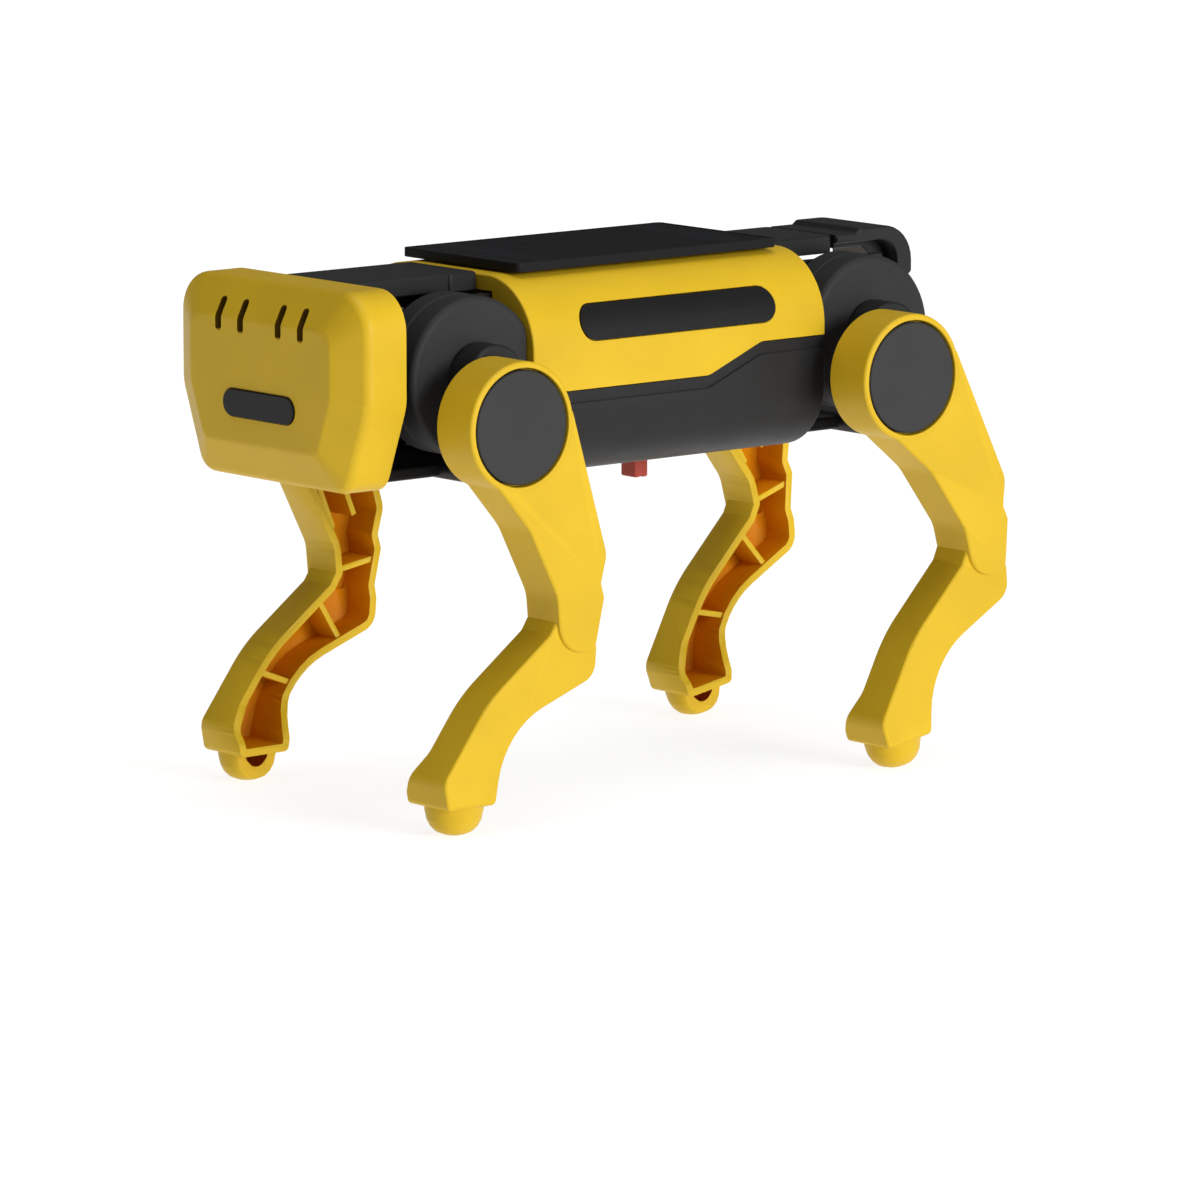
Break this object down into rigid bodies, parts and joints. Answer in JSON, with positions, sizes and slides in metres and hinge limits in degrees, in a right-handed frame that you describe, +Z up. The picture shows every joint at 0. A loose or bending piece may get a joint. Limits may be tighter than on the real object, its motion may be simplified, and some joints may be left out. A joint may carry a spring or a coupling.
{
  "type": "quadruped robot dog",
  "caption": "Small solar-powered walking robot dog: hollow body shell, bevelled head with vents, drum hips on a gear train, and crank-driven bent legs.",
  "frame": {"origin": "on the ground, at the centre of the object's footprint box", "axes": "+X forward to the head, +Y to the dog's left, +Z up"},
  "size_m": [0.1164, 0.06, 0.0739],
  "materials": {
    "yellow_plastic": "satin moulded plastic",
    "black_plastic": "fine satin moulded plastic",
    "grey_plastic": "satin moulded plastic",
    "badge_black": "smooth satin",
    "solar_cell": "smooth resin over a dark cell",
    "steel": "bright turned steel",
    "gear_plastic": "natural nylon",
    "brass": "turned brass",
    "red_plastic": "satin moulded plastic",
    "wire_red": "soft insulation",
    "wire_black": "soft insulation"
  },
  "bodies": {
    "root": {"hip_drum_front_left": "black_plastic", "hip_drum_front_right": "black_plastic", "front_idler_pin": "steel", "front_guide_bar": "black_plastic", "hip_drum_rear_left": "black_plastic", "hip_drum_rear_right": "black_plastic", "rear_idler_pin": "steel", "rear_guide_bar": "black_plastic", "motor_can": "steel", "switch_body": "steel", "motor_end_cap": "black_plastic", "motor_cradle": "black_plastic", "chassis_side_left": "black_plastic", "side_badge_left": "badge_black", "chassis_side_right": "black_plastic", "side_badge_right": "badge_black", "chassis_standoff_1": "steel", "chassis_standoff_2": "steel", "chassis_standoff_3": "steel", "chassis_standoff_4": "steel", "upper_shell": "yellow_plastic", "head_shell": "yellow_plastic", "belly_shell": "black_plastic", "solar_panel_tray": "black_plastic", "front_top_cover": "black_plastic", "rear_deck": "black_plastic", "tail_hood": "black_plastic", "head_bracket": "black_plastic", "solar_cell": "solar_cell", "head_badge": "badge_black", "wire_positive": "wire_red", "wire_negative": "wire_black"},
    "front_axle": {"front_axle": "steel", "front_axle_gear": "gear_plastic", "crank_front_left": "black_plastic", "crank_screw_front_left": "steel", "crank_front_right": "black_plastic", "crank_screw_front_right": "steel"},
    "front_idler": {"front_idler_gear": "gear_plastic"},
    "leg_front_left": {"leg_front_left": "yellow_plastic", "hub_cap_front_left": "grey_plastic"},
    "leg_front_right": {"leg_front_right": "yellow_plastic", "hub_cap_front_right": "grey_plastic"},
    "rear_axle": {"rear_axle": "steel", "rear_axle_gear": "gear_plastic", "crank_rear_left": "black_plastic", "crank_screw_rear_left": "steel", "crank_rear_right": "black_plastic", "crank_screw_rear_right": "steel"},
    "rear_idler": {"rear_idler_gear": "gear_plastic"},
    "leg_rear_left": {"leg_rear_left": "yellow_plastic", "hub_cap_rear_left": "grey_plastic"},
    "leg_rear_right": {"leg_rear_right": "yellow_plastic", "hub_cap_rear_right": "grey_plastic"},
    "centre_shaft": {"centre_shaft": "steel", "centre_gear": "gear_plastic", "worm_wheel": "gear_plastic"},
    "motor_shaft": {"motor_shaft": "steel", "drive_worm": "brass"},
    "switch_knob": {"switch_knob": "red_plastic"}
  },
  "joints": [
    {"name": "front_axle_spin", "type": "hinge", "parent": "root", "child": "front_axle", "pos_m": [0.03497, 0, 0.06], "axis": [0, 1, 0], "continuous": true},
    {"name": "rear_axle_spin", "type": "hinge", "parent": "root", "child": "rear_axle", "pos_m": [-0.03603, 0, 0.06], "axis": [0, 1, 0], "continuous": true},
    {"name": "front_idler_spin", "type": "hinge", "parent": "root", "child": "front_idler", "pos_m": [0.01722, 0, 0.06], "axis": [0, 1, 0], "continuous": true},
    {"name": "rear_idler_spin", "type": "hinge", "parent": "root", "child": "rear_idler", "pos_m": [-0.01828, 0, 0.06], "axis": [0, 1, 0], "continuous": true},
    {"name": "centre_shaft_spin", "type": "hinge", "parent": "root", "child": "centre_shaft", "pos_m": [-0.00053, 0, 0.06], "axis": [0, 1, 0], "continuous": true},
    {"name": "motor_shaft_spin", "type": "hinge", "parent": "root", "child": "motor_shaft", "pos_m": [-0.00053, 0, 0.05345], "axis": [1, 0, 0], "continuous": true},
    {"name": "leg_front_left_pivot", "type": "hinge", "parent": "front_axle", "child": "leg_front_left", "pos_m": [0.03692, 0, 0.05464], "axis": [0, 1, 0], "continuous": true},
    {"name": "leg_front_right_pivot", "type": "hinge", "parent": "front_axle", "child": "leg_front_right", "pos_m": [0.03302, 0, 0.05464], "axis": [0, 1, 0], "continuous": true},
    {"name": "leg_rear_left_pivot", "type": "hinge", "parent": "rear_axle", "child": "leg_rear_left", "pos_m": [-0.03279, 0, 0.05531], "axis": [0, 1, 0], "continuous": true},
    {"name": "leg_rear_right_pivot", "type": "hinge", "parent": "rear_axle", "child": "leg_rear_right", "pos_m": [-0.03927, 0, 0.05531], "axis": [0, 1, 0], "continuous": true},
    {"name": "switch_slide", "type": "slide", "parent": "root", "child": "switch_knob", "axis": [1, 0, 0], "range_m": [0, 0.0022]}
  ],
  "couplings": [
    {"joint": "rear_axle_spin", "follows": "front_axle_spin", "ratio": 1},
    {"joint": "front_idler_spin", "follows": "front_axle_spin", "ratio": -1},
    {"joint": "rear_idler_spin", "follows": "front_axle_spin", "ratio": -1},
    {"joint": "centre_shaft_spin", "follows": "front_axle_spin", "ratio": 1},
    {"joint": "motor_shaft_spin", "follows": "front_axle_spin", "ratio": 20},
    {"joint": "leg_front_left_pivot", "follows": "front_axle_spin", "ratio": -1},
    {"joint": "leg_front_right_pivot", "follows": "front_axle_spin", "ratio": -1},
    {"joint": "leg_rear_left_pivot", "follows": "front_axle_spin", "ratio": -1},
    {"joint": "leg_rear_right_pivot", "follows": "front_axle_spin", "ratio": -1}
  ]
}
